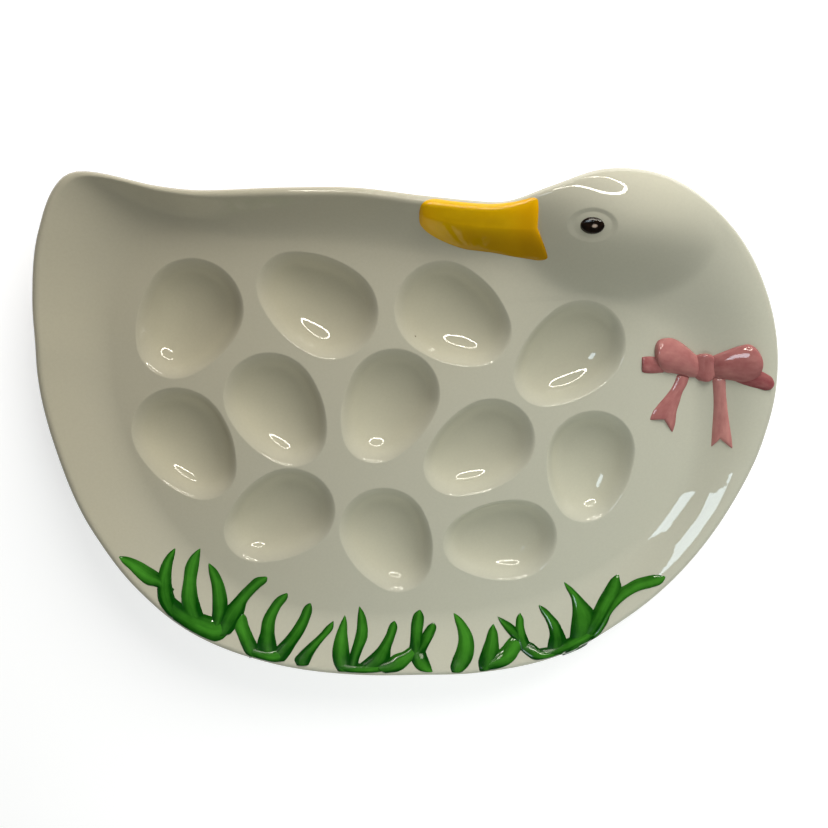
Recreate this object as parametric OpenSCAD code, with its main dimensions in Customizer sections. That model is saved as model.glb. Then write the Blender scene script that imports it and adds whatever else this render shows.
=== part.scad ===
// Egg platter shaped as a resting goose: a shallow cast dish with twelve egg wells,
// the head laid back on the rim, and a beak, an eye, a bow and grass in low relief.
// X runs from the tail to the breast, Y from the grass to the head, Z up from the table.

/* [Platter] */
// Overall length, from the tail side to the breast
platter_l = 330; // [290:5:370]
// Overall width, from the grass rim to the crown of the head
platter_w = 240; // [210:5:270]
// Rise of the rim above the floor of the dish
rim_rise = 13; // [8:0.5:18]
// Thickness of the cast wall
wall = 5; // [4:0.25:6]
// Free height between the egg wells' undersides and the table
foot_clear = 1.5; // [1:0.25:4]

/* [Egg wells] */
// Length of a well's mouth
well_l = 55; // [48:1:57]
// Width of a well's mouth
well_w = 41; // [35:1:43]
// Depth of a well below the floor of the dish
well_depth = 12.5; // [9:0.5:15]
// Size of the eased edge round a well's mouth
well_edge = 2; // [1:0.25:2.5]
// Thickness of the wall under a well
well_wall = 4; // [3:0.25:5]

/* [Head] */
// Length of the raised head, along its beak's line
head_l = 92; // [80:2:100]
// Width of the raised head
head_w = 64; // [54:2:70]
// Height that the crown adds to the dish's slope
head_rise = 14; // [8:0.5:18]
// Turn of the head's long axis
head_turn = -8; // [-14:1:0]

/* [Foot ring] */
// Width of the foot ring's wall
foot_t = 5; // [3.5:0.25:6]
// Flat land on the underside, outside the floor of the dish, that the foot ring stands under
foot_land = 9; // [8:0.5:11]

/* [Relief] */
// Height of the beak above the glaze
beak_h = 3.5; // [2:0.25:5]
// Height of the bow's loops
loop_h = 3; // [2:0.25:4]
// Height of the bow's knot
knot_h = 3.5; // [2:0.25:4.5]
// Height of the ribbon's tails and ends
ribbon_h = 1.8; // [1:0.1:2.6]
// Height of a grass blade along its middle
grass_h = 1.6; // [1:0.1:2.4]
// Length of the eye
eye_l = 9.4; // [7:0.2:11]
// Width of the eye
eye_w = 7; // [5:0.2:8.5]
// Height of the eye
eye_h = 1.2; // [0.8:0.1:2]
// Gap of the seat under each relief
seat_gap = 0.3; // [0.2:0.05:0.4]

/* [Hidden] */

half_l = platter_l / 2;
half_w = platter_w / 2;
floor_h = foot_clear + well_wall + well_depth;
lip_r = wall / 2;

// Lean of the rounded lip: outwards round the dish, and rolled over the head and neck
dish_lean = 35;
head_lean = -15;

// Widest step in degrees between two sections, a closer one under the tip of the beak, where the
// rim turns in to the cheek, and the steps along each part of a section
section_step = 6;
bill_step = 2;
bill_angles = [58, 80];
slope_steps = 7;

// Ring on the flat floor inside the slope's start, as a share of that start's distance out
floor_ring_share = 0.92;
lip_steps = 4;
under_steps = 4;

// Sections round the rim, by the angle on a plain oval of the platter's length and width:
// angle, reach of the rim, reach of the flat floor, rise of the rim, roundness of the shoulder.
// The head and neck lie from 0 to 80 degrees, and the tail's corner at 133.
rim_shares = [
    [0, 0.983, 0.80, 1, 0.9], [10, 1.016, 0.80, 1, 1], [20, 1.054, 0.81, 1, 1],
    [30, 1.095, 0.81, 1, 1], [40, 1.138, 0.77, 1, 1], [45, 1.155, 0.75, 1, 1],
    [50, 1.166, 0.723, 1, 1], [58, 1.158, 0.65, 1, 1], [65, 1.10, 0.65, 1, 0.8],
    [70, 1.006, 0.675, 1, 0.6],
    [75, 0.926, 0.70, 1, 0.4], [80, 0.904, 0.69, 1, 0.2], [90, 0.91, 0.70, 1, 0],
    [100, 0.949, 0.735, 1, 0], [110, 0.994, 0.79, 1, 0], [120, 1.067, 0.87, 1, 0],
    [125, 1.146, 0.94, 1.05, 0], [130, 1.284, 1.02, 1.1, 0], [133, 1.297, 1.03, 1.15, 0],
    [140, 1.236, 1.0, 1.1, 0], [150, 1.14, 0.94, 1, 0], [160, 1.062, 0.88, 1, 0],
    [180, 0.978, 0.804, 1, 0], [200, 0.964, 0.775, 1, 0], [215, 0.985, 0.78, 1, 0],
    [230, 1.016, 0.795, 1, 0], [245, 1.017, 0.79, 1, 0], [260, 1.002, 0.765, 1, 0],
    [270, 0.996, 0.755, 1, 0], [280, 1.011, 0.76, 1, 0], [295, 1.02, 0.775, 1, 0],
    [310, 0.986, 0.79, 1, 0.5], [330, 0.954, 0.80, 1, 0.85], [345, 0.953, 0.80, 1, 0.9]];

// Egg wells: place as shares of half the length and width, and the way the broad end points
well_shares = [
    [-0.622, 0.469, 56], [-0.27, 0.525, -33], [0.101, 0.474, 147], [0.428, 0.321, 40],
    [-0.65, -0.014, 118], [-0.391, 0.117, 118], [-0.083, 0.127, 64], [0.179, -0.054, 34],
    [0.508, -0.133, 88], [-0.403, -0.325, 33], [-0.084, -0.436, 113], [0.252, -0.448, 2]];

// An egg as three balls: place along its axis and radius, in half widths
egg_ball_shares = [[0.31, 1], [-0.12, 0.955], [-0.6, 0.74]];
egg_span_share = 2.65;
egg_fn = 18;
bump_fn = 14;

// Middle of the head, and how squarely its crown falls away
head_at_share = [0.525, 0.785];
crown_power = 1.4;

// Eye, as shares of half the length and width, and the angle where its corners are cut off
eye_at_share = [0.439, 0.807];
eye_turn = -8;
eye_ribs = 6;
eye_corner = 12;

// Ribs across each relief, from one end to the other: [side, other side], or with a middle
// point between them where the end is notched or bowed. Shares of half the length and width.
beak_shares = [
    [[0, 0.862], [0, 0.835]], [[0.012, 0.874], [0.014, 0.795]], [[0.045, 0.876], [0.045, 0.762]],
    [[0.085, 0.873], [0.09, 0.737]], [[0.142, 0.869], [0.155, 0.715]],
    [[0.206, 0.865], [0.223, 0.703]], [[0.262, 0.876], [0.292, 0.688]],
    [[0.301, 0.888], [0.316, 0.8], [0.371, 0.682]]];
left_loop_shares = [
    [[0.674, 0.345], [0.677, 0.288]], [[0.69, 0.383], [0.694, 0.262]],
    [[0.719, 0.387], [0.722, 0.25]], [[0.75, 0.362], [0.755, 0.243]],
    [[0.775, 0.338], [0.779, 0.24]]];
knot_shares = [
    [[0.782, 0.328], [0.785, 0.226]], [[0.808, 0.333], [0.814, 0.216]],
    [[0.834, 0.331], [0.841, 0.226]]];
right_loop_shares = [
    [[0.841, 0.333], [0.848, 0.232]], [[0.876, 0.366], [0.885, 0.226]],
    [[0.905, 0.376], [0.916, 0.226]], [[0.93, 0.354], [0.94, 0.246]],
    [[0.94, 0.322], [0.945, 0.288]]];
left_end_shares = [
    [[0.634, 0.318], [0.638, 0.251]], [[0.652, 0.319], [0.656, 0.247]],
    [[0.669, 0.318], [0.672, 0.256]]];
right_end_shares = [
    [[0.95, 0.262], [0.94, 0.222]], [[0.961, 0.25], [0.952, 0.206]],
    [[0.973, 0.228], [0.966, 0.198]]];
left_tail_shares = [
    [[0.777, 0.235], [0.742, 0.241]], [[0.77, 0.188], [0.727, 0.186]],
    [[0.76, 0.142], [0.706, 0.14]], [[0.752, 0.092], [0.686, 0.1]],
    [[0.741, 0.001], [0.718, 0.055], [0.674, 0.055]]];
right_tail_shares = [
    [[0.866, 0.223], [0.83, 0.214]], [[0.874, 0.153], [0.838, 0.15]],
    [[0.882, 0.085], [0.843, 0.08]], [[0.889, 0.03], [0.845, 0.02]],
    [[0.9, -0.042], [0.864, -0.009], [0.844, -0.045]]];
// Height of a relief's edge beside its middle, and how squarely its top is pillowed
edge_share = 0.25;
round_power = 0.6;
pad_steps = 2;
pad_columns = 6;

// Width of the widest blade of grass, which keeps to the platter's size
blade_w_share = 0.01405;
blade_w = blade_w_share * (platter_l + platter_w);

// Grass blades: root, middle and tip as shares of half the length and width, and the blade's
// width as a share of the widest blade
tail_side_shares = [
    [[-0.711, -0.694], [-0.778, -0.509], [-0.844, -0.423], 0.61],
    [[-0.689, -0.713], [-0.73, -0.579], [-0.703, -0.436], 0.69],
    [[-0.633, -0.769], [-0.668, -0.616], [-0.634, -0.443], 0.76],
    [[-0.591, -0.779], [-0.588, -0.656], [-0.617, -0.509], 0.75],
    [[-0.575, -0.786], [-0.524, -0.669], [-0.444, -0.578], 0.95],
    [[-0.733, -0.64], [-0.632, -0.758], [-0.534, -0.746], 0.95]];
left_shares = [
    [[-0.488, -0.862], [-0.509, -0.803], [-0.529, -0.745], 0.64],
    [[-0.45, -0.876], [-0.448, -0.781], [-0.388, -0.653], 0.78],
    [[-0.425, -0.882], [-0.363, -0.814], [-0.32, -0.701], 0.79],
    [[-0.517, -0.812], [-0.46, -0.862], [-0.394, -0.866], 0.8]];
left_blade_shares = [[[-0.349, -0.91], [-0.312, -0.862], [-0.253, -0.784], 0.8]];
middle_shares = [
    [[-0.229, -0.94], [-0.235, -0.864], [-0.219, -0.761], 0.8],
    [[-0.199, -0.94], [-0.169, -0.848], [-0.176, -0.721], 0.75],
    [[-0.157, -0.944], [-0.096, -0.889], [-0.068, -0.793], 0.81],
    [[-0.243, -0.925], [-0.115, -0.95], [-0.005, -0.9], 0.74],
    [[-0.004, -0.925], [-0.004, -0.849], [0.009, -0.748], 0.69],
    [[0.003, -0.92], [0.029, -0.868], [0.052, -0.806], 0.56],
    [[-0.006, -0.908], [0.008, -0.93], [0.038, -0.95], 0.81]];
right_blade_shares = [[[0.118, -0.945], [0.148, -0.878], [0.111, -0.766], 0.95]];
breast_side_shares = [
    [[0.207, -0.94], [0.226, -0.894], [0.235, -0.814], 0.94],
    [[0.306, -0.871], [0.278, -0.828], [0.246, -0.786], 0.5],
    [[0.304, -0.897], [0.311, -0.837], [0.317, -0.77], 0.5],
    [[0.215, -0.938], [0.262, -0.925], [0.308, -0.878], 0.86],
    [[0.311, -0.887], [0.35, -0.9], [0.416, -0.9], 0.68],
    [[0.415, -0.895], [0.416, -0.818], [0.372, -0.736], 0.79],
    [[0.468, -0.88], [0.494, -0.754], [0.447, -0.636], 1],
    [[0.495, -0.875], [0.557, -0.724], [0.611, -0.59], 0.86],
    [[0.512, -0.865], [0.609, -0.678], [0.737, -0.571], 0.79],
    [[0.39, -0.9], [0.49, -0.879], [0.563, -0.796], 0.86]];
clump_blade_steps = 6;
wide_clump_steps = 7;
lone_blade_steps = 8;
blade_tip_share = 0.08;
blade_root_share = 0.15;
blade_swell_power = 0.8;

// How far a blade starts below the glaze before it is cut to its seat
blade_sink = 1.1;

// Step along a curve that its direction is read over
probe = 0.01;

// Thickness of the flat outlines that the mouths of the wells are hulled from
sheet = 0.01;

function mix(a, b, t) = a + (b - a) * t;
function clamp01(t) = min(1, max(0, t));

// A row of the rim's table, counted on round the rim past either end
function rim_row(i) =
    let (turns = floor(i / len(rim_shares)))
    rim_shares[i - turns * len(rim_shares)] + [360 * turns, 0, 0, 0, 0];

// The rim's section at any angle, on a smooth curve through the table's rows
function rim_at(angle) =
    let (a = angle - 360 * floor(angle / 360),
         i = max([for (k = [0:len(rim_shares) - 1]) if (rim_shares[k][0] <= a) k]),
         before = rim_row(i - 1), here = rim_row(i), next = rim_row(i + 1), after = rim_row(i + 2),
         span = next[0] - here[0],
         u = (a - here[0]) / span,
         lead = (next - before) * span / (next[0] - before[0]),
         trail = (after - here) * span / (after[0] - here[0]))
    here * (2 * u ^ 3 - 3 * u ^ 2 + 1) + lead * (u ^ 3 - 2 * u ^ 2 + u)
    + next * (3 * u ^ 2 - 2 * u ^ 3) + trail * (u ^ 3 - u ^ 2);

// Place on the plain oval at an angle, and the length there that one share stands for
function oval(angle) = [half_l * cos(angle), half_w * sin(angle)];
function in_plan(share) = [half_l * share[0], half_w * share[1]];

// Rise of the slope: a plain cove that steepens to the rim, or an S with a round shoulder
function slope_share(t, roundness) = mix(1 - cos(90 * t), (1 - cos(180 * t)) / 2, roundness);

// Swell of the head over the dish's slope
function head_swell(p) =
    let (d = p - in_plan(head_at_share),
         u = (d[0] * cos(head_turn) + d[1] * sin(head_turn)) / (head_l / 2),
         v = (d[1] * cos(head_turn) - d[0] * sin(head_turn)) / (head_w / 2))
    head_rise * max(0, 1 - u * u - v * v) ^ crown_power;

// The round lip: its lean, the middle of its circle as [distance out, height], and where the
// slope runs into it
function lip_lean(row) = mix(dish_lean, head_lean, row[4]);
function lip_middle(row, angle) =
    [row[1] * norm(oval(angle)) - lip_r, floor_h + rim_rise * row[3] - lip_r * cos(lip_lean(row))];
function slope_end(row, angle) = lip_middle(row, angle)[0] - lip_r * sin(lip_lean(row));

// Height of the glazed surface at a place in plan, without the wells: slope, then lip
function glaze_z(p) =
    let (s = [p[0] / half_l, p[1] / half_w],
         angle = atan2(s[1], s[0]),
         row = rim_at(angle),
         out = norm(p),
         start = row[2] * norm(oval(angle)),
         end = slope_end(row, angle),
         lip = lip_middle(row, angle),
         t = clamp01((out - start) / (end - start)))
    head_swell(p)
    + (out > end ? lip[1] + sqrt(max(0, lip_r ^ 2 - (out - lip[0]) ^ 2))
                 : floor_h + rim_rise * row[3] * slope_share(t, row[4]));

// One section of the dish as [distance out, height]: up the slope, round the lip, back under
function section(row, angle) =
    let (start = row[2] * norm(oval(angle)),
         end = slope_end(row, angle),
         rise = rim_rise * row[3],
         lean = lip_lean(row),
         lip = lip_middle(row, angle),
         under = lip + lip_r * [sin(lean), -cos(lean)],
         land = start + foot_land,
         base = floor_h - wall)
    concat(
        [[floor_ring_share * start, floor_h]],
        [for (k = [0:slope_steps]) let (t = k / slope_steps)
            [mix(start, end, t), floor_h + rise * slope_share(t, row[4])]],
        [for (k = [1:lip_steps - 1]) let (turn = 90 + lean - 180 * k / lip_steps)
            lip + lip_r * [cos(turn), sin(turn)]],
        [for (k = [under_steps:-1:0]) let (t = k / under_steps)
            [mix(land, under[0], t), mix(base, under[1], slope_share(t, row[4]))]]);

// Angles of the sections: each span of the table in equal steps
section_angles = [
    for (k = [0:len(rim_shares) - 1])
        let (from = rim_row(k)[0],
             span = rim_row(k + 1)[0] - from,
             at_bill = from >= bill_angles[0] && from < bill_angles[1],
             n = ceil(span / (at_bill ? bill_step : section_step)))
        for (j = [0:n - 1]) from + span * j / n];

// Places the sections round the dish, with the head's swell on them
function section_points(angle) =
    let (dir = oval(angle) / norm(oval(angle)))
    [for (q = section(rim_at(angle), angle)) let (p = dir * q[0]) [p[0], p[1], q[1] + head_swell(p)]];

// A closed skin over equal rings of points, capped at both ends by a point in the middle
module ring_skin(rings, first, last) {
    n = len(rings);
    m = len(rings[0]);
    points = concat([first], [for (r = rings) each r], [last]);
    faces = concat(
        [for (i = [0:n - 1]) let (j = (i + 1) % n) [0, 1 + j * m, 1 + i * m]],
        [for (i = [0:n - 1], k = [0:m - 2]) let (j = (i + 1) % n)
            each [[1 + i * m + k, 1 + j * m + k, 1 + j * m + k + 1],
                  [1 + i * m + k, 1 + j * m + k + 1, 1 + i * m + k + 1]]],
        [for (i = [0:n - 1]) let (j = (i + 1) % n) [n * m + 1, i * m + m, j * m + m]]);
    polyhedron(points = points, faces = faces);
}

// The cast dish with its rim, head and neck, before the wells
module dish() {
    ring_skin([for (a = section_angles) section_points(a)], [0, 0, floor_h], [0, 0, floor_h - wall]);
}

// An egg lying on its side, with its broad end towards +X
module egg(length, width, height, fn) {
    scale([length / egg_span_share, width / 2, height])
        hull()
            for (ball = egg_ball_shares)
                translate([ball[0], 0, 0]) sphere(r = ball[1], $fn = fn);
}

module egg_outline(length, width) {
    scale([length / egg_span_share, width / 2])
        hull()
            for (ball = egg_ball_shares)
                translate([ball[0], 0]) circle(r = ball[1], $fn = egg_fn);
}

// What is cut away for an egg: the bowl, and the eased edge of its mouth up to the rim
module egg_well() {
    egg(well_l - well_edge, well_w - well_edge, well_depth, egg_fn);
    hull() {
        translate([0, 0, -well_edge / 2])
            linear_extrude(sheet) egg_outline(well_l - well_edge, well_w - well_edge);
        translate([0, 0, well_edge / 2])
            linear_extrude(rim_rise) egg_outline(well_l + well_edge, well_w + well_edge);
    }
}

// The skin that hangs under a well
module egg_bump() {
    span = well_l + 2 * well_wall;
    intersection() {
        egg(span, well_w + 2 * well_wall, well_depth + well_wall, bump_fn);
        translate([-span, -span, -2 * floor_h - wall / 2]) cube([2 * span, 2 * span, 2 * floor_h]);
    }
}

module at_wells() {
    for (w = well_shares)
        translate([half_l * w[0], half_w * w[1], floor_h]) rotate(w[2]) children();
}

module platter_body() {
    color("#e6e2d2")
        difference() {
            union() {
                dish();
                at_wells() egg_bump();
            }
            at_wells() egg_well();
        }
}

function floor_outline(offset_out) =
    [for (a = section_angles) let (o = oval(a)) o * (rim_at(a)[2] + offset_out / norm(o))];

module foot_ring() {
    color("#cfc3ab")
        linear_extrude(floor_h - wall)
            difference() {
                polygon(floor_outline(foot_land));
                polygon(floor_outline(foot_land - foot_t));
            }
}

// Ribs of a relief, smoothed along its length and cut into columns across
function rib_point(rib, u) =
    let (low = rib[0], high = rib[len(rib) - 1], middle = len(rib) == 3 ? rib[1] : (low + high) / 2)
    u < 0.5 ? mix(low, middle, 2 * u) : mix(middle, high, 2 * u - 1);
function rib_curve(ribs, i, u, t) =
    let (n = len(ribs) - 1,
         a = rib_point(ribs[max(0, i - 1)], u), b = rib_point(ribs[i], u),
         c = rib_point(ribs[min(n, i + 1)], u), d = rib_point(ribs[min(n, i + 2)], u))
    b + ((c - a) * t + (2 * a - 5 * b + 4 * c - d) * t ^ 2 + (3 * b - a - 3 * c + d) * t ^ 3) / 2;

// A raised pad on the glaze, pillowed across and along, from a table of ribs
module pad(ribs, height, steps = pad_steps) {
    rows = (len(ribs) - 1) * steps;
    rings = [for (k = [0:rows])
        let (i = min(len(ribs) - 2, floor(k / steps)),
             t = k / steps - i,
             along = sin(180 * k / rows) ^ round_power,
             line = [for (c = [0:pad_columns]) in_plan(rib_curve(ribs, i, c / pad_columns, t))])
        concat(
            [for (c = [0:pad_columns])
                let (crown = along * max(0, sin(180 * c / pad_columns)) ^ round_power)
                [line[c][0], line[c][1],
                 glaze_z(line[c]) + seat_gap + height * mix(edge_share, 1, crown)]],
            [for (c = [pad_columns:-1:0])
                [line[c][0], line[c][1], glaze_z(line[c]) + seat_gap]])];
    m = 2 * (pad_columns + 1);
    faces = concat(
        [for (k = [0:rows - 1], c = [0:m - 1]) let (d = (c + 1) % m)
            each [[k * m + c, (k + 1) * m + d, k * m + d], [k * m + c, (k + 1) * m + c, (k + 1) * m + d]]],
        [for (c = [0:pad_columns - 1]) each [
            [c, c + 1, m - 1 - c], [c + 1, m - 2 - c, m - 1 - c],
            [rows * m + c + 1, rows * m + c, rows * m + m - 1 - c],
            [rows * m + m - 2 - c, rows * m + c + 1, rows * m + m - 1 - c]]]);
    polyhedron(points = [for (r = rings) each r], faces = faces);
}

module beak() {
    color("#c99a08") pad(beak_shares, beak_h);
}

// The eye's ribs are chords of its oval, from its front corner to its back one
module eye() {
    middle = eye_at_share;
    ribs = [for (k = [0:eye_ribs])
        let (a = mix(eye_corner, 180 - eye_corner, k / eye_ribs),
             x = -cos(a) * eye_l / 2,
             y = sin(a) * eye_w / 2)
        [for (side = [y, -y])
            [middle[0] + (x * cos(eye_turn) - side * sin(eye_turn)) / half_l,
             middle[1] + (x * sin(eye_turn) + side * cos(eye_turn)) / half_w]]];
    color("#2a1608") pad(ribs, eye_h, 1);
}

module bow_knot() {
    color("#a85a62") pad(knot_shares, knot_h);
}

module bow_left_loop() {
    color("#b5656e") pad(left_loop_shares, loop_h);
}

module bow_right_loop() {
    color("#b5656e") pad(right_loop_shares, loop_h);
}

module bow_left_tail() {
    color("#bf7078") pad(left_tail_shares, ribbon_h);
}

module bow_right_tail() {
    color("#bf7078") pad(right_tail_shares, ribbon_h);
}

module ribbon_left_end() {
    color("#bf7078") pad(left_end_shares, ribbon_h);
}

module ribbon_right_end() {
    color("#bf7078") pad(right_end_shares, ribbon_h);
}

// A blade's middle line bends from its root through its middle to its tip
function blade_line(blade, v) =
    let (root = in_plan(blade[0]), tip = in_plan(blade[2]),
         pull = 2 * in_plan(blade[1]) - (root + tip) / 2)
    root * (1 - v) ^ 2 + pull * 2 * v * (1 - v) + tip * v ^ 2;
function blade_half(blade, v) =
    let (swell = sin(180 * mix(blade_root_share, 1, v) ^ blade_swell_power))
    blade_w * blade[3] / 2 * max(blade_tip_share, swell);

// One rib of a blade: sunk into the glaze, with low edges and a ridge along its middle
function blade_rib(blade, v) =
    let (run = blade_line(blade, v + probe) - blade_line(blade, v - probe),
         side = [-run[1], run[0]] / norm(run) * blade_half(blade, v),
         middle = blade_line(blade, v))
    [for (s = [[-1, -blade_sink], [-1, edge_share * grass_h], [0, grass_h],
               [1, edge_share * grass_h], [1, -blade_sink]])
        let (p = middle + side * s[0]) [p[0], p[1], glaze_z(p) + s[1]]];

// A blade of grass: short lengths, each the hull of two ribs, lofted end to end
module blade(form, steps) {
    for (k = [0:steps - 1])
        hull()
            polyhedron(
                points = concat(blade_rib(form, k / steps), blade_rib(form, (k + 1) / steps)),
                faces = concat([[0, 1, 2, 3, 4], [9, 8, 7, 6, 5]],
                    [for (c = [0:4]) let (d = (c + 1) % 5) each [[c, c + 5, d + 5], [c, d + 5, d]]]));
}

// Blades run together at their roots, and cut to the glaze that they lie on
module grass(forms, tint, steps = clump_blade_steps) {
    color(tint)
        difference() {
            for (form = forms) blade(form, steps);
            dish();
        }
}

module grass_clump_tail_side() {
    grass(tail_side_shares, "#1f6e1c");
}

module grass_clump_left() {
    grass(left_shares, "#2c7a24");
}

module grass_blade_left() {
    grass(left_blade_shares, "#4d8f33", lone_blade_steps);
}

module grass_clump_middle() {
    grass(middle_shares, "#2c7a24");
}

module grass_blade_right() {
    grass(right_blade_shares, "#5c9440", lone_blade_steps);
}

module grass_clump_breast_side() {
    grass(breast_side_shares, "#1f6e1c", wide_clump_steps);
}

platter_body();
foot_ring();
beak();
eye();
bow_knot();
bow_left_loop();
bow_right_loop();
bow_left_tail();
bow_right_tail();
ribbon_left_end();
ribbon_right_end();
grass_clump_tail_side();
grass_clump_left();
grass_blade_left();
grass_clump_middle();
grass_blade_right();
grass_clump_breast_side();
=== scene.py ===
import math
import bmesh
import bpy
import numpy as np
from mathutils import Matrix, Vector
from mathutils.geometry import tessellate_polygon


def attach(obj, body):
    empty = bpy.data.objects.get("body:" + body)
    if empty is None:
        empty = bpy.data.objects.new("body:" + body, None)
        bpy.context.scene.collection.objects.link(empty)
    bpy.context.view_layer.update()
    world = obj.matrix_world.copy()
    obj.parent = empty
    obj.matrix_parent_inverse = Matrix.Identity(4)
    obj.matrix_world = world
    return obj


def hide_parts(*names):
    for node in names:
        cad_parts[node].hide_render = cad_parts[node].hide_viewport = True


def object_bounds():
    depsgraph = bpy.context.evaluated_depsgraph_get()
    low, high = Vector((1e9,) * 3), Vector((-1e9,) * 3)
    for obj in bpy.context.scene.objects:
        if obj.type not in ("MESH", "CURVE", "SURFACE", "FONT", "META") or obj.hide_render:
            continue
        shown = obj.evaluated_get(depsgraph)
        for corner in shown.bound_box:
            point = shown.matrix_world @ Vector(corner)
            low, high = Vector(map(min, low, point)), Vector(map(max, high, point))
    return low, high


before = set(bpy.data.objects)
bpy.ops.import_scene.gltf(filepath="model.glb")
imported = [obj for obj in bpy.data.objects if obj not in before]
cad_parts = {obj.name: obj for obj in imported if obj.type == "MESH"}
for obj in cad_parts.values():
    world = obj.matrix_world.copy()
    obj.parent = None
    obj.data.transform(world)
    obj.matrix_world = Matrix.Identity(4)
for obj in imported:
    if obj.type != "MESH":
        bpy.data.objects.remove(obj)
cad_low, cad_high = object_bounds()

scene = bpy.context.scene
scene.view_settings.view_transform = "Standard"

# Camera. It stands above the head's side of the platter and looks down, about 14 degrees off
# straight down. Its lens and place come from the egg wells, which are all one size in the
# photograph. Lengths are in millimetres up to the last step of each mesh.
FOCAL_PX, MIDDLE_PX = 705.0, 414.0
SENSOR = 36.0
LOOKS_AT, CAMERA_REACH = np.array([-1.5, 11.7, 18.0]), 330.1
tilt, turn = math.radians(14.3), math.radians(-3.1)
CAMERA_BACK = np.array([math.sin(turn), math.sin(tilt) * math.cos(turn),
                        math.cos(tilt) * math.cos(turn)])
CAMERA_UP = np.array([0.0, 1.0, 0.0]) - CAMERA_BACK * CAMERA_BACK[1]
CAMERA_UP /= np.linalg.norm(CAMERA_UP)
CAMERA_RIGHT = np.cross(CAMERA_UP, CAMERA_BACK)
CAMERA_AT = LOOKS_AT + CAMERA_BACK * CAMERA_REACH
lens = bpy.data.cameras.new("camera")
lens.sensor_width = SENSOR
lens.lens = SENSOR * FOCAL_PX / (2 * MIDDLE_PX)
lens.clip_start = 0.01
camera = bpy.data.objects.new("camera", lens)
camera.matrix_world = Matrix.Translation(CAMERA_AT / 1000) @ Matrix(
    np.column_stack([CAMERA_RIGHT, CAMERA_UP, CAMERA_BACK]).tolist()).to_4x4()
scene.collection.objects.link(camera)
scene.camera = camera

# Dish. One slip-cast piece of earthenware: a flat floor with twelve egg wells, a slope up to a
# rounded lip, and the goose's head and neck raised on the rim. Cream glaze covers it all, over
# the lip and down the back, apart from the foot that it stands on.
HALF_L, HALF_W = 165.0, 120.0
FLOOR_H, RIM_RISE, WALL = 18.0, 13.0, 5.0
LIP_R = WALL / 2
FOOT_LAND = 9.0
DISH_LEAN, HEAD_LEAN = 35.0, -15.0
WELL_L, WELL_W, WELL_DEPTH = 57.0, 43.0, 12.5
# Skin round each bowl, at its mouth and under it, and how its width grows along the egg
MOUTH_WALL, WELL_WALL = 3.0, 4.0
SKIN_TAPER, SKIN_SLIM = 0.2, 1.02
# An egg as three circles: place along its axis and radius, in half widths, how softly they run
# into each other, and the egg's whole length in half widths
EGG_CIRCLES = np.array([[0.31, 1], [-0.12, 0.955], [-0.6, 0.74]])
EGG_SOFT, EGG_SPAN = 0.03, 2.65
HEAD_AT = np.array([0.525 * HALF_L, 0.785 * HALF_W])
HEAD_L, HEAD_W, HEAD_RISE, HEAD_TURN = 92.0, 64.0, 13.85, math.radians(-8)
# How softly the head's foot runs out, and how far up the slope its swell takes to come in
HEAD_FOOT, HEAD_FADE = 1.5, 5.0
# Angle on a plain oval, reach of the rim and of the flat floor as shares of the oval, rise of
# the rim, and how round the slope's shoulder is
RIM = np.array([
    [0, 0.983, 0.80, 1, 0.9], [10, 1.016, 0.80, 1, 1], [20, 1.054, 0.81, 1, 1],
    [30, 1.095, 0.81, 1, 1], [40, 1.138, 0.77, 1, 1], [45, 1.155, 0.75, 1, 1],
    [50, 1.166, 0.723, 1, 1], [58, 1.158, 0.65, 1, 1], [65, 1.10, 0.65, 1, 0.8],
    [70, 1.006, 0.675, 1, 0.6],
    [75, 0.926, 0.70, 1, 0.4], [80, 0.904, 0.69, 1, 0.2], [90, 0.91, 0.70, 1, 0],
    [100, 0.949, 0.735, 1, 0], [110, 0.994, 0.79, 1, 0], [120, 1.067, 0.87, 1, 0],
    [125, 1.146, 0.94, 1.05, 0], [130, 1.284, 1.02, 1.1, 0], [133, 1.297, 1.03, 1.15, 0],
    [140, 1.236, 1.0, 1.1, 0], [150, 1.14, 0.94, 1, 0], [160, 1.062, 0.88, 1, 0],
    [180, 0.978, 0.804, 1, 0], [200, 0.964, 0.775, 1, 0], [215, 0.985, 0.78, 1, 0],
    [230, 1.016, 0.795, 1, 0], [245, 1.017, 0.79, 1, 0], [260, 1.002, 0.765, 1, 0],
    [270, 0.996, 0.755, 1, 0], [280, 1.011, 0.76, 1, 0], [295, 1.02, 0.775, 1, 0],
    [310, 0.986, 0.79, 1, 0.5], [330, 0.954, 0.80, 1, 0.85], [345, 0.953, 0.80, 1, 0.9]])
# Place of each well as shares of half the length and width, and the way its broad end points
WELLS = np.array([
    [-0.622, 0.469, 56], [-0.27, 0.525, -33], [0.101, 0.474, 147], [0.428, 0.321, 40],
    [-0.65, -0.014, 118], [-0.391, 0.117, 118], [-0.083, 0.127, 64], [0.179, -0.054, 34],
    [0.508, -0.133, 88], [-0.403, -0.325, 33], [-0.084, -0.436, 113], [0.252, -0.448, 2]])


def rim_row(k):
    """Rows of the rim's table, counted on round the rim past either end."""
    return RIM[k % len(RIM)] + np.outer(k // len(RIM), [360, 0, 0, 0, 0])


def rim_at(angle):
    """Rim at any angles: between two rows of the table a cubic, whose slope at each row is that
    of the straight line between the rows on either side of it."""
    a = np.mod(angle, 360.0)
    i = np.searchsorted(RIM[:, 0], a, side="right") - 1
    before, here, after, beyond = rim_row(i - 1), rim_row(i), rim_row(i + 1), rim_row(i + 2)
    span = (after - here)[:, :1]
    u = (a[:, None] - here[:, :1]) / span
    lead = (after - before) * span / (after - before)[:, :1]
    trail = (beyond - here) * span / (beyond - here)[:, :1]
    return (here * (2 * u**3 - 3 * u**2 + 1) + lead * (u**3 - 2 * u**2 + u)
            + after * (3 * u**2 - 2 * u**3) + trail * (u**3 - u**2)).T


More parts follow.
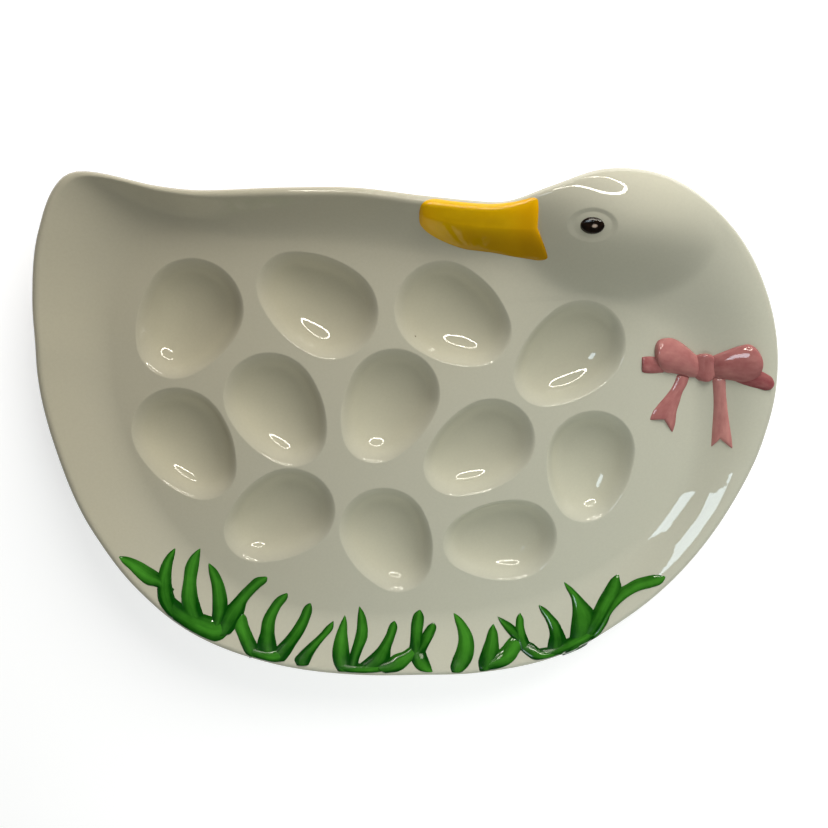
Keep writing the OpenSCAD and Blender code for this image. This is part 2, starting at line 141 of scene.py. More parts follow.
def slope_share(t, roundness):
    """Rise of the slope at t from 0 to 1: one minus a quarter cosine where roundness is 0, a
    plain cove, and half of one minus a half cosine where it is 1, an S."""
    cove, shoulder = 1 - np.cos(np.pi / 2 * t), (1 - np.cos(np.pi * t)) / 2
    return cove + (shoulder - cove) * roundness


def head_swell(x, y):
    """Rise of the head over the slope: an ellipse's 1 - u^2 - v^2 to a power, 1.4 towards the
    wells and 1.0 at the rim, whose foot h runs out softly as h^2 / (h + HEAD_FOOT)."""
    dx, dy = x - HEAD_AT[0], y - HEAD_AT[1]
    u = (dx * math.cos(HEAD_TURN) + dy * math.sin(HEAD_TURN)) / (HEAD_L / 2)
    v = (dy * math.cos(HEAD_TURN) - dx * math.sin(HEAD_TURN)) / (HEAD_W / 2)
    power = 1.4 - 0.4 * np.clip((v + 0.2) / 0.8, 0, 1)
    swell = HEAD_RISE * np.maximum(0, 1 - u * u - v * v) ** power
    return swell**2 / (swell + HEAD_FOOT) * (1 + HEAD_FOOT / HEAD_RISE)


def section(angle):
    """Sizes of the dish's section at each angle: the oval's reach, where the slope starts and
    ends, the lip's middle as distance and height, its lean, the rise and the roundness."""
    _, reach, floor_reach, rise, roundness = rim_at(angle)
    a = np.radians(angle)
    oval = np.hypot(HALF_L * np.cos(a), HALF_W * np.sin(a))
    lean = np.radians(DISH_LEAN + (HEAD_LEAN - DISH_LEAN) * roundness)
    lip_out = reach * oval - LIP_R
    lip_up = FLOOR_H + RIM_RISE * rise - LIP_R * np.cos(lean)
    return (oval, floor_reach * oval, lip_out - LIP_R * np.sin(lean), lip_out, lip_up, lean,
            RIM_RISE * rise, roundness)


def glaze_height(x, y):
    """Height of the glaze at places in plan, without the wells: the slope's share of its rise,
    then the lip's circle, and the head's swell on both."""
    _, start, end, lip_out, lip_up, _, rise, roundness = section(
        np.degrees(np.arctan2(y / HALF_W, x / HALF_L)))
    out = np.hypot(x, y)
    slope = FLOOR_H + rise * slope_share(np.clip((out - start) / (end - start), 0, 1), roundness)
    lip = lip_up + np.sqrt(np.maximum(0, LIP_R**2 - (out - lip_out) ** 2))
    return head_swell(x, y) + np.where(out > end, lip, slope)


def egg_ring(length, width, phi):
    """Outline of an egg on its side, its broad end towards +X: the curve that closes round three
    circles on its axis. Its reach in a direction is the soft maximum of each circle's middle
    times the cosine, plus its radius; the point there adds the slope of that, turned square."""
    middles, radii = EGG_CIRCLES[:, :1], EGG_CIRCLES[:, 1:]
    reaches = (middles * np.cos(phi) + radii) / EGG_SOFT
    most = reaches.max(axis=0)
    weights = np.exp(reaches - most)
    reach = EGG_SOFT * (most + np.log(weights.sum(axis=0)))
    slope = (weights * -middles * np.sin(phi)).sum(axis=0) / weights.sum(axis=0)
    return (length / EGG_SPAN * (reach * np.cos(phi) - slope * np.sin(phi)),
            width / 2 * (reach * np.sin(phi) + slope * np.cos(phi)))


def grid_faces(first, rows, columns, closed=True):
    """Quads between rows of vertices that follow one another from the vertex number first."""
    r, c = np.meshgrid(np.arange(rows - 1), np.arange(columns if closed else columns - 1),
                       indexing="ij")
    d = (c + 1) % columns
    quad = np.stack([r * columns + c, r * columns + d, (r + 1) * columns + d,
                     (r + 1) * columns + c], axis=-1)
    return (quad.reshape(-1, 4) + first).tolist()


def mesh_object(name, points, faces):
    """A smooth-shaded object from points in millimetres, its place kept in its mesh."""
    mesh = bpy.data.meshes.new(name)
    mesh.from_pydata((np.asarray(points) / 1000).tolist(), [], faces)
    shell = bmesh.new()
    shell.from_mesh(mesh)
    bmesh.ops.recalc_face_normals(shell, faces=shell.faces)
    shell.to_mesh(mesh)
    shell.free()
    mesh.shade_smooth()
    obj = bpy.data.objects.new(name, mesh)
    scene.collection.objects.link(obj)
    return obj


# Steps round the dish, and up the slope, over the lip, down the back and in to the middle
ROUND = 480
SLOPE_STEPS, LIP_STEPS, BACK_STEPS, FLAT_STEPS = 25, 14, 10, 48
angles = np.arange(ROUND) * 360.0 / ROUND
oval, start, end, lip_out, lip_up, lean, rise, roundness = section(angles)
rows = [(start + (end - start) * t, FLOOR_H + rise * slope_share(t, roundness))
        for t in np.linspace(0, 1, SLOPE_STEPS + 1)]
rows += [(lip_out + LIP_R * np.cos(a), lip_up + LIP_R * np.sin(a))
         for a in [np.pi / 2 + lean - np.pi * k / LIP_STEPS for k in range(1, LIP_STEPS)]]
under_out, under_up = lip_out + LIP_R * np.sin(lean), lip_up - LIP_R * np.cos(lean)
land, base = start + FOOT_LAND, FLOOR_H - WALL
rows += [(land + (under_out - land) * t, base + (under_up - base) * slope_share(t, roundness))
         for t in np.linspace(1, 0, BACK_STEPS + 1)]
rows += [(land * s, np.full(ROUND, base)) for s in np.linspace(1, 0, FLAT_STEPS + 1)[1:-1]]
out = np.array([r[0] for r in rows])
dir_x = HALF_L * np.cos(np.radians(angles)) / oval
dir_y = HALF_W * np.sin(np.radians(angles)) / oval
x, y = out * dir_x, out * dir_y
edge_ramp = np.clip((out - start) / HEAD_FADE, 0, 1)
z = np.array([r[1] for r in rows]) + head_swell(x, y) * edge_ramp**2 * (3 - 2 * edge_ramp)


def bump_under(x, y):
    """Underside of the wells: the lowest of their skins, and far above them where there is none.
    Each lies D sqrt(1 - u^2 - v^2) below the floor, and is wider towards its broad end."""
    far_above = 40.0
    low = np.full(x.shape, far_above)
    for across, along, broad in WELLS:
        a = math.radians(broad)
        dx, dy = x - across * HALF_L, y - along * HALF_W
        u = (dx * math.cos(a) + dy * math.sin(a)) / (WELL_L / 2 + MOUTH_WALL)
        v = (dy * math.cos(a) - dx * math.sin(a)) / (WELL_W / 2 + MOUTH_WALL)
        v = v / (1 + SKIN_TAPER * np.clip(u, -1, 1)) * SKIN_SLIM
        inside = np.maximum(0, 1 - u * u - v * v)
        skin = FLOOR_H - (WELL_DEPTH + WELL_WALL) * np.sqrt(inside)
        low = np.minimum(low, np.where(inside > 0, skin, far_above))
    return low


# The flat underside and the skins of the wells run into each other on a soft fillet
soft = 0.7
flat = len(rows) - (FLAT_STEPS - 1)
z[flat:] = -soft * np.logaddexp(-z[flat:] / soft, -bump_under(x[flat:], y[flat:]) / soft)
points = [np.stack([x, y, z], axis=-1).reshape(-1, 3)]
count = x.size
faces = grid_faces(0, len(rows), ROUND)
under_middle = bump_under(np.zeros(1), np.zeros(1))[0]
pole = float(-soft * np.logaddexp(-base / soft, -under_middle / soft))
points.append(np.array([[0.0, 0.0, pole]]))
last = count - ROUND
faces += [[last + k, last + (k + 1) % ROUND, count] for k in range(ROUND)]
count += 1

# Each bowl: an egg-shaped dish whose mouth turns over into the floor on a small radius. Its
# rings crowd towards the mouth, and the outermost lies a little outside it, level with the floor
MOUTH_STEPS, BOWL_STEPS = 96, 34
BOWL_SHARE, STEEPEST, MOUTH_SOFT = 0.9, 1.5, 0.8
MOUTH_RING, CROWDING = 0.2, 1.3


def bowl_depth(rho):
    """Depth below the floor at rho, the share of the way out to the mouth.

    With u = rho / share, inside: depth = D sqrt(1 - u^2). From where the wall's slope reaches
    STEEPEST on, it runs straight. Above the floor it dies away: depth = s ln(1 + exp(depth / s)).
    """
    half = WELL_W / 2 * BOWL_SHARE
    steep = STEEPEST * half / WELL_DEPTH
    u = rho / BOWL_SHARE
    wall = np.minimum(u, steep / math.sqrt(1 + steep**2))
    depth = WELL_DEPTH * np.sqrt(1 - wall**2) - STEEPEST * half * (u - wall)
    return MOUTH_SOFT * np.logaddexp(0, depth / MOUTH_SOFT)


phi = np.arange(MOUTH_STEPS) * 2 * np.pi / MOUTH_STEPS
ex, ey = egg_ring(WELL_L, WELL_W, phi)
rho = np.concatenate([[1 + MOUTH_RING / (WELL_W / 2)],
                      1 - (1 - np.linspace(1, 0, BOWL_STEPS + 1)[:-1]) ** CROWDING])
bottom, mouth = bowl_depth(np.array([0.0, 1.0]))
deep = (bowl_depth(np.minimum(rho, 1)) - mouth) * WELL_DEPTH / (bottom - mouth)
outlines = [np.stack([x[0], y[0]], axis=-1)]
numbers = [np.arange(ROUND)]
for across, along, broad in WELLS:
    a = math.radians(broad)
    bx = (rho[:, None] * (ex * math.cos(a) - ey * math.sin(a))) + across * HALF_L
    by = (rho[:, None] * (ex * math.sin(a) + ey * math.cos(a))) + along * HALF_W
    bz = np.repeat((FLOOR_H - deep)[:, None], MOUTH_STEPS, axis=1)
    points.append(np.stack([bx, by, bz], axis=-1).reshape(-1, 3))
    points.append(np.array([[across * HALF_L, along * HALF_W, FLOOR_H - WELL_DEPTH]]))
    faces += grid_faces(count, len(rho), MOUTH_STEPS)
    outlines.append(np.stack([bx[0], by[0]], axis=-1))
    numbers.append(np.arange(count, count + MOUTH_STEPS))
    tip = count + bx.size
    ring = tip - MOUTH_STEPS
    faces += [[ring + k, ring + (k + 1) % MOUTH_STEPS, tip] for k in range(MOUTH_STEPS)]
    count = tip + 1
numbers = np.concatenate(numbers)
loops = [[Vector((px, py, 0)) for px, py in ring] for ring in outlines]
faces += [[int(numbers[k]) for k in tri] for tri in tessellate_polygon(loops)]
points = np.clip(np.concatenate(points), np.array(cad_low) * 1000, np.array(cad_high) * 1000)
dish = mesh_object("cast_dish", points, faces)
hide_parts("platter_body")
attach(dish, "root")


class Graph:
    """A material's or a group's nodes, added and joined by name."""

    def __init__(self, tree):
        self.tree = tree

    def add(self, kind, inputs=None, **settings):
        """A shader node, each input joined to a socket or set to a value."""
        node = self.tree.nodes.new("ShaderNode" + kind)
        for key, value in settings.items():
            setattr(node, key, value)
        for key, value in (inputs or {}).items():
            if isinstance(value, bpy.types.NodeSocket):
                self.tree.links.new(value, node.inputs[key])
            else:
                node.inputs[key].default_value = value
        return node

    def math(self, operation, *values, clamp=False):
        """One step of arithmetic on sockets or numbers."""
        node = self.add("Math", dict(enumerate(values)), operation=operation, use_clamp=clamp)
        return node.outputs[0]

    def noise(self, place, scale, detail=3.0, rough=0.5):
        """Soft noise from 0 to 1, with scale as its number of cells to the metre."""
        return self.add("TexNoise", {"Vector": place, "Scale": scale, "Detail": detail,
                                     "Roughness": rough}).outputs["Fac"]

    def ramp(self, value, low, high, out_low=0.0, out_high=1.0):
        """Value carried smoothly from one range to another, and held at its ends."""
        node = self.add("MapRange", {"Value": value, "From Min": low, "From Max": high,
                                     "To Min": out_low, "To Max": out_high},
                        interpolation_type="SMOOTHSTEP")
        return node.outputs["Result"]

    def blend(self, share, first, second, mode="MIX"):
        """The first colour turned into the second by a share from 0 to 1."""
        node = self.add("Mix", data_type="RGBA", blend_type=mode)
        for key, value in (("Factor", share), ("A", first), ("B", second)):
            socket = [s for s in node.inputs if s.name == key and s.enabled][0]
            if isinstance(value, bpy.types.NodeSocket):
                self.tree.links.new(value, socket)
            else:
                socket.default_value = value
        return [s for s in node.outputs if s.enabled][0]


def colour(red, green, blue):
    """Scene colour of an 8-bit picture colour."""
    v = np.array([red, green, blue]) / 255
    v = np.where(v <= 0.04045, v / 12.92, ((v + 0.055) / 1.055) ** 2.4)
    return (*v.tolist(), 1.0)


def new_group(name, inputs, outputs):
    """A node group with named inputs, each with its start value, and named outputs."""
    tree = bpy.data.node_groups.new(name, "ShaderNodeTree")
    for label, kind, value in inputs:
        socket = tree.interface.new_socket(label, in_out="INPUT", socket_type="NodeSocket" + kind)
        if value is not None:
            socket.default_value = value
    for label, kind in outputs:
        tree.interface.new_socket(label, in_out="OUTPUT", socket_type="NodeSocket" + kind)
    return Graph(tree), tree.nodes.new("NodeGroupInput"), tree.nodes.new("NodeGroupOutput")


# The fired glaze: a colour that drifts and gathers a little, a few dark specks, a faint
# orange-peel surface and a slightly uneven gloss.
glaze, given, result = new_group(
    "fired_glaze",
    [("Thin", "Color", colour(196, 193, 176)), ("Thick", "Color", colour(184, 178, 154)),
     ("Pooling", "Float", 0.0), ("Drift", "Float", 0.25), ("Specks", "Float", 1.0)],
    [("Color", "Color"), ("Roughness", "Float"), ("Height", "Float")])
place = glaze.add("TexCoord").outputs["Object"]
wide = glaze.noise(place, 22.0, 2.0)
cloud = glaze.noise(place, 130.0, 4.0, 0.6)
grain = glaze.noise(place, 900.0, 3.0, 0.6)
drift = glaze.math("MULTIPLY", glaze.math("SUBTRACT", glaze.math(
    "ADD", glaze.math("MULTIPLY", wide, 1.2), glaze.math("MULTIPLY", cloud, 0.8)), 1.0),
    given.outputs["Drift"])
share = glaze.math("ADD", given.outputs["Pooling"], drift, clamp=True)
base = glaze.blend(share, given.outputs["Thin"], given.outputs["Thick"])
tooth = glaze.ramp(grain, 0.30, 0.70, 0.985, 1.015)
base = glaze.blend(1.0, base, glaze.add("CombineColor", {
    "Red": tooth, "Green": tooth, "Blue": tooth}).outputs[0], "MULTIPLY")
cells = glaze.add("TexVoronoi", {"Vector": place, "Scale": 85.0})
speck = glaze.ramp(cells.outputs["Distance"], 0.035, 0.07, 1.0, 0.0)
rare = glaze.ramp(glaze.add("SeparateColor", {
    "Color": cells.outputs["Color"]}).outputs[0], 0.965, 0.975)
speck = glaze.math("MULTIPLY", glaze.math("MULTIPLY", speck, rare), given.outputs["Specks"])
base = glaze.blend(speck, base, colour(70, 58, 44))
glaze.tree.links.new(base, result.inputs["Color"])
glaze.tree.links.new(glaze.ramp(cloud, 0.3, 0.7, 0.006, 0.02), result.inputs["Roughness"])
peel = glaze.math("ADD", glaze.math("MULTIPLY", glaze.noise(place, 60.0, 1.0), 0.5),
                  glaze.math("MULTIPLY", glaze.noise(place, 320.0, 1.0), 0.04))
glaze.tree.links.new(peel, result.inputs["Height"])


def new_material(name, node_colour):
    """A material with its Principled shader ready, shown in one colour in the viewport."""
    material = bpy.data.materials.new(name)
    material.use_nodes = True
    material.diffuse_color = node_colour
    material.node_tree.nodes.clear()
    graph = Graph(material.node_tree)
    shader = graph.add("BsdfPrincipled", {"IOR": 1.52})
    graph.add("OutputMaterial", {"Surface": shader.outputs[0]})
    return material, graph, shader


def use_group(graph, group, values):
    """A node group placed in a material with values of its own."""
    node = graph.tree.nodes.new("ShaderNodeGroup")
    node.node_tree = group.tree
    for key, value in values.items():
        if isinstance(value, bpy.types.NodeSocket):
            graph.tree.links.new(value, node.inputs[key])
        else:
            node.inputs[key].default_value = value
    return node


def finish_shader(graph, shader, colour_socket, roughness, height, distance=0.0003):
    """Joins colour, roughness and a height to the shader. The height times the distance is in
    metres."""
    graph.tree.links.new(colour_socket, shader.inputs["Base Color"])
    graph.tree.links.new(roughness, shader.inputs["Roughness"])
    bump = graph.add("Bump", {"Height": height, "Strength": 1.0, "Distance": distance})
    graph.tree.links.new(bump.outputs["Normal"], shader.inputs["Normal"])


def on_glaze(px, py):
    """Place on the glaze under a pixel of the photograph: the pixel's line of sight is met with
    a level plane, whose height moves 0.7 of the way to that of the glaze there, 16 times."""
    px, py = np.asarray(px, float), np.asarray(py, float)
    sight = (-CAMERA_BACK * FOCAL_PX + CAMERA_RIGHT * (px[..., None] - MIDDLE_PX)
             - CAMERA_UP * (py[..., None] - MIDDLE_PX))
    up = np.full(px.shape, 25.0)
    for _ in range(16):
        at = CAMERA_AT + sight * ((up - CAMERA_AT[2]) / sight[..., 2])[..., None]
        found = glaze_height(at[..., 0].ravel(), at[..., 1].ravel()).reshape(px.shape)
        up += 0.7 * (found - up)
    return np.stack([at[..., 0], at[..., 1], up], axis=-1)


def oval_share(graph, place, pixel, half_sizes, turned=0.0):
    """Distance in plan from the place on the glaze under a pixel, as a share of the half sizes,
    in metres, of an oval round it."""
    at = on_glaze(*pixel) * [1, 1, 0] / 1000
    mapped = graph.add("Mapping", {"Vector": place, "Location": tuple(at.tolist()),
                                   "Rotation": (0, 0, turned), "Scale": (*half_sizes, 1.0)},
                       vector_type="TEXTURE")
    level = graph.add("VectorMath", {0: mapped.outputs[0], 1: (1, 1, 0)}, operation="MULTIPLY")
    return graph.add("VectorMath", {0: level.outputs[0]}, operation="LENGTH").outputs["Value"]


cream, graph, shader = new_material("cream_glaze", colour(192, 188, 170))
place = graph.add("TexCoord").outputs["Object"]
parts = graph.add("SeparateXYZ", {"Vector": place})
# The glaze gathers in the wells, from the height of the floor down to near their bottom
POOL_TOP, POOL_FULL = (FLOOR_H + 0.5) / 1000, (FLOOR_H - WELL_DEPTH + 1.5) / 1000
pool = graph.ramp(parts.outputs["Z"], POOL_TOP, POOL_FULL, 0.0, 0.85)
pooling = graph.math("ADD", pool, 0.35)
# Painted light and shade: painted darker and warmer towards the tail, paler at the breast
side = graph.ramp(graph.math("SUBTRACT", graph.math("MULTIPLY", parts.outputs["X"], 0.75),
                             graph.math("MULTIPLY", parts.outputs["Y"], 0.65)), -0.15, 0.13)
thin = graph.blend(side, colour(174, 168, 149), colour(197, 197, 181))
thick = graph.blend(side, colour(178, 171, 147), colour(195, 194, 174))
node = use_group(graph, glaze, {"Thin": thin, "Thick": thick,
                                "Pooling": pooling, "Drift": 0.35})
# The almond-shaped socket pressed in round the eye: its pixel, half sizes in metres and turn
SOCKET_AT, SOCKET_HALF, SOCKET_TURN = (593.0, 225.0), (0.0092, 0.0064), math.radians(-8)
away = oval_share(graph, place, SOCKET_AT, SOCKET_HALF, SOCKET_TURN)
socket_low = graph.ramp(away, 0.78, 1.12, -2.0, 0.0)
height = graph.math("ADD", node.outputs["Height"], socket_low)
finish_shader(graph, shader, node.outputs["Color"], node.outputs["Roughness"], height)
dish.data.materials.append(cream)

# Foot. A plain ring under the slope, wiped clean of glaze so that it doesn't stick to the kiln
# shelf: bare, matt clay with a fine grain.
clay, graph, shader = new_material("bare_clay", colour(207, 195, 171))
place = graph.add("TexCoord").outputs["Object"]
fine = graph.noise(place, 1500.0, 4.0, 0.7)
broad = graph.noise(place, 60.0, 3.0)
tone = graph.blend(graph.ramp(broad, 0.35, 0.65), colour(206, 194, 170), colour(190, 176, 150))
tone = graph.blend(graph.ramp(fine, 0.60, 0.72), tone, colour(150, 132, 106))
finish_shader(graph, shader, tone, graph.ramp(fine, 0.2, 0.8, 0.75, 0.95), fine,
              distance=0.0002)
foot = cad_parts["foot_ring"]
foot.data.materials.clear()
foot.data.materials.append(clay)


def smooth_line(points, count):
    """Places at equal steps along a smooth curve through the points: between two points a cubic
    whose slope at each is that of the line's run there."""
    p = np.asarray(points, float)
    s = np.concatenate([[0], np.cumsum(np.hypot(*np.diff(p, axis=0).T))])
    run = np.gradient(p, s, axis=0)
    t = np.linspace(0, s[-1], count)
    i = np.clip(np.searchsorted(s, t, side="right") - 1, 0, len(s) - 2)
    w = (s[i + 1] - s[i])[:, None]
    u = (t - s[i])[:, None] / w
    return (p[i] * (2 * u**3 - 3 * u**2 + 1) + run[i] * w * (u**3 - 2 * u**2 + u)
            + p[i + 1] * (3 * u**2 - 2 * u**3) + run[i + 1] * w * (u**3 - u**2))


# Least thickness of a relief's body, below its sunk seat, and how far on each skin of a relief
# lies from the one before in the UV map
BODY, UV_STEP = 0.25, 2.0


def relief_skin(lines, height, rows, columns, sink, across, along, bow=1.6, spread=1.0):
    """Closed skin of a relief between two or three lines of pixels that run the same way. The
    top rises over the sunk seat by the product of a profile across and one along. Returns its
    points, and its share across and along for each."""
    edge_a, edge_b = smooth_line(lines[0], rows), smooth_line(lines[-1], rows)
    middle = smooth_line(lines[1], rows) if len(lines) == 3 else (edge_a + edge_b) / 2
    u = (1 - np.cos(np.pi * np.linspace(0, 1, columns))) / 2
    side = np.abs(2 * u - 1) ** (bow if len(lines) == 3 else 1.0)
    edge = np.where((u < 0.5)[None, :, None], edge_a[:, None], edge_b[:, None])
    pixel = middle[:, None] + (edge - middle[:, None]) * side[None, :, None] * spread
    seat = on_glaze(pixel[..., 0], pixel[..., 1])
    v = np.linspace(0, 1, rows)
    rise = (height + sink) * across(u)[None, :] * along(v)[:, None]
    top, under = seat.copy(), seat[:, ::-1].copy()
    top[..., 2] += rise - sink
    under[..., 2] -= sink + BODY
    loop = np.concatenate([top, under], axis=1)
    place = np.stack(np.meshgrid(v, np.concatenate([u, u[::-1]]), indexing="ij")[::-1], axis=-1)
    return loop, place


def relief_object(name, skins, tones=None):
    """Joins skins into one object, with the shares across and along as its UV map, and the tone
    of each skin as an attribute."""
    points, faces, places, tone = [], [], [], []
    count = 0
    for k, (loop, place) in enumerate(skins):
        rows, columns = loop.shape[:2]
        faces += grid_faces(count, rows, columns)
        faces += [list(range(count, count + columns)),
                  list(range(count + (rows - 1) * columns, count + rows * columns))[::-1]]
        points.append(loop.reshape(-1, 3))
        places.append(place.reshape(-1, 2) + [[UV_STEP * k, 0.0]])
        tone.append(np.full(rows * columns, tones[k] if tones else 0.5))
        count += rows * columns
    points = np.clip(np.concatenate(points), np.array(cad_low) * 1000, np.array(cad_high) * 1000)
    obj = mesh_object(name, points, faces)
    corner = np.empty(len(obj.data.loops), dtype=np.int32)
    obj.data.loops.foreach_get("vertex_index", corner)
    layer = obj.data.uv_layers.new(name="along")
    layer.data.foreach_set("uv", np.concatenate(places)[corner].ravel())
    shade = obj.data.attributes.new("tone", "FLOAT", "POINT")
    shade.data.foreach_set("value", np.concatenate(tone))
    return obj


def pillow(power):
    """Profile that is 0 at both edges and 1 in the middle: 1 - |2u - 1|^2 to a power."""
    return lambda u: np.maximum(0, 1 - (2 * u - 1) ** 2) ** power


def rounded_ends(power):
    """Profile along a relief, 1 for most of it: the root of 1 - |2v - 1| to a power."""
    return lambda v: np.maximum(0, 1 - np.abs(2 * v - 1) ** power) ** 0.5


# The brushed colours: a wash laid on with a few strokes of a soft brush, thin where the brush
# dragged and thick between, under clear glaze. The strokes follow the UV map.
brush, given, result = new_group(
    "brushed_colour",
    [("Dark", "Color", colour(40, 90, 20)), ("Light", "Color", colour(90, 140, 60)),
     ("Strokes", "Float", 6.0), ("Length", "Float", 0.8), ("Lightness", "Float", 0.5),
     ("Contrast", "Float", 0.5)],
    [("Color", "Color"), ("Roughness", "Float"), ("Height", "Float")])
uv = brush.add("UVMap", uv_map="along").outputs["UV"]
parts = brush.add("SeparateXYZ", {"Vector": uv})
stretched = brush.add("CombineXYZ", {
    "X": brush.math("MULTIPLY", parts.outputs["X"], given.outputs["Strokes"]),
    "Y": brush.math("MULTIPLY", parts.outputs["Y"], given.outputs["Length"])}).outputs[0]
stroke = brush.noise(stretched, 1.0, 4.0, 0.55)
place = brush.add("TexCoord").outputs["Object"]
blot = brush.noise(place, 260.0, 3.0)
mixed = brush.math("ADD", brush.math("MULTIPLY", brush.math("SUBTRACT", stroke, 0.5), 1.6),
                   brush.math("MULTIPLY", brush.math("SUBTRACT", blot, 0.5), 0.8))
mixed = brush.math("ADD", brush.math("MULTIPLY", mixed, given.outputs["Contrast"]),
                   given.outputs["Lightness"], clamp=True)
tone = brush.blend(mixed, given.outputs["Dark"], given.outputs["Light"])
brush.tree.links.new(tone, result.inputs["Color"])
brush.tree.links.new(brush.ramp(blot, 0.3, 0.7, 0.02, 0.05), result.inputs["Roughness"])
peel = brush.math("ADD", brush.math("MULTIPLY", brush.noise(place, 90.0, 1.0), 0.5),
                  brush.math("MULTIPLY", stroke, 0.10))
brush.tree.links.new(peel, result.inputs["Height"])

# Beak. A long flat bill laid along the back rim, painted ochre: greener in the middle, more
# orange at the tip and where it meets the cheek, and darker down its lower side as painted shade.
beak_lines = [
    [(418.5, 215), (421, 204), (424, 201), (430, 198.5), (450, 200), (470, 202), (490, 203),
     (505, 202), (518, 200), (527, 197.5), (535, 195.5), (540.5, 197.5)],
    [(418.5, 215.5), (424, 217), (435, 220), (450, 223), (470, 226), (490, 228), (510, 229),
     (526, 229), (538.5, 228)],
    [(418.5, 216), (420, 225), (425, 231), (435, 238), (445, 243), (455, 247), (465, 250),
     (480, 252), (495, 254), (510, 257), (528, 260), (541, 262), (551.5, 261)]]
beak = relief_object("painted_beak", [relief_skin(
    beak_lines, height=3.4, rows=60, columns=31, sink=0.7, across=pillow(0.55),
    along=rounded_ends(9))])
ochre, graph, shader = new_material("ochre_glaze", colour(185, 140, 10))
node = use_group(graph, brush, {"Dark": colour(206, 156, 0), "Light": colour(232, 184, 0),
                                "Strokes": 4.0, "Length": 3.0, "Lightness": 0.5,
                                "Contrast": 0.5})
parts = graph.add("SeparateXYZ", {"Vector": graph.add("UVMap", uv_map="along").outputs["UV"]})
ends = graph.math("ABSOLUTE", graph.math("SUBTRACT", parts.outputs["Y"], 0.45))
tone = graph.blend(graph.ramp(ends, 0.2, 0.5, 0.0, 0.8), node.outputs["Color"],
                   colour(226, 164, 0))
# Painted shade: the bill's lower side, turned away from the light, is painted darker
painted_shade_low_side = graph.math("MULTIPLY", graph.ramp(parts.outputs["X"], 0.45, 0.9, 0.0, 0.75),
                      graph.ramp(parts.outputs["Y"], 0.05, 0.5))
tone = graph.blend(painted_shade_low_side, tone, colour(152, 112, 0))
finish_shader(graph, shader, tone, node.outputs["Roughness"], node.outputs["Height"])
beak.data.materials.append(ochre)
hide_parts("beak")
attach(beak, "root")

# Eye. A low oval drop of dark brown in the middle of its socket, with a small pale glint in
# its colour as a painted highlight. Both middles and the eye's half sizes are in pixels.
EYE_AT, EYE_HALF = (592.3, 225.6), (12.2, 8.9)
GLINT_AT, GLINT_HALF = (594.0, 226.0), (0.0010, 0.0007)
eye_turn = np.radians(np.linspace(180, 0, 13))
eye_x = EYE_AT[0] + EYE_HALF[0] * np.cos(eye_turn)
eye_lines = [np.stack([eye_x, EYE_AT[1] - half * EYE_HALF[1] * np.sin(eye_turn)], axis=-1)
             for half in (1, -1)]
eye = relief_object("painted_eye", [relief_skin(
    eye_lines, height=1.1, rows=33, columns=17, sink=0.5, across=pillow(0.5),
    along=rounded_ends(4))])
dark, graph, shader = new_material("dark_glaze", colour(38, 24, 14))
place = graph.add("TexCoord").outputs["Object"]
away = oval_share(graph, place, GLINT_AT, GLINT_HALF)
streak = graph.noise(place, 700.0, 3.0)
tone = graph.blend(graph.ramp(streak, 0.35, 0.7), colour(12, 7, 4), colour(34, 20, 12))
# Painted highlight: a pale glint in the middle of the eye
tone = graph.blend(graph.ramp(away, 0.6, 1.3, 0.9, 0.0), tone, colour(204, 184, 168))
finish_shader(graph, shader, tone, graph.ramp(streak, 0.3, 0.7, 0.05, 0.1), streak,
              distance=0.0001)
eye.data.materials.append(dark)
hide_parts("eye")
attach(eye, "root")

# Ribbon. Its two ends show either side of the bow where it goes round the neck, and its tails
# hang below the knot with their ends cut in a notch. All of it is deep rose, brushed on. Each has
# its lines of pixels and its tone; the tones mix the rose's own lightness with painted light and
# shade, so the tails are lighter than the ends and the right tail lighter than the left.
ribbon_forms = {
    "ribbon_left_end": ([
        [(664, 357.5), (648, 356), (643.5, 356.4), (641.5, 357)],
        [(664, 373), (649, 373.8), (643.5, 373), (641.5, 372)]], 0.28),
    "ribbon_right_end": ([
        [(745, 364), (753, 366.5), (760, 370), (766, 373), (772, 377), (775, 383)],
        [(730, 379), (738, 383), (750, 387), (758, 389), (765, 390.8), (771, 390)]], 0.12),
    "bow_left_tail": ([
        [(677, 374), (675, 380), (671, 388), (665, 396), (658, 404), (652, 412), (648.5, 421)],
        [(683, 375), (681, 385), (677, 394), (671, 404), (666, 413), (664, 420)],
        [(690, 376), (687, 385), (683, 392), (680, 402), (677, 412), (675.5, 425),
         (672.5, 434.5)]], 0.42),
    "bow_right_tail": ([
        [(711.5, 376), (713, 395), (713, 410), (712, 425), (711, 440), (710.5, 449)],
        [(719, 377), (720, 395), (720.5, 410), (720, 425), (719.5, 439)],
        [(726, 377), (726.5, 395), (728, 410), (730, 425), (732, 437), (733.5, 451)]], 0.70)}
rose, graph, shader = new_material("pink_glaze", colour(168, 96, 98))
tone_in = graph.add("Attribute", attribute_name="tone").outputs["Fac"]
node = use_group(graph, brush, {"Dark": colour(138, 74, 76), "Light": colour(206, 146, 138),
                                "Strokes": 3.0, "Length": 2.0, "Lightness": tone_in,
                                "Contrast": 0.55})
finish_shader(graph, shader, node.outputs["Color"], node.outputs["Roughness"],
              node.outputs["Height"])
for name, (lines, tone) in ribbon_forms.items():
    piece = relief_object("brushed_" + name, [relief_skin(
        lines, height=1.4, rows=40, columns=19, sink=0.6, across=pillow(0.5),
        along=rounded_ends(24), bow=1.0)], [tone])
    piece.data.materials.append(rose)
    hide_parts(name)
    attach(piece, "root")
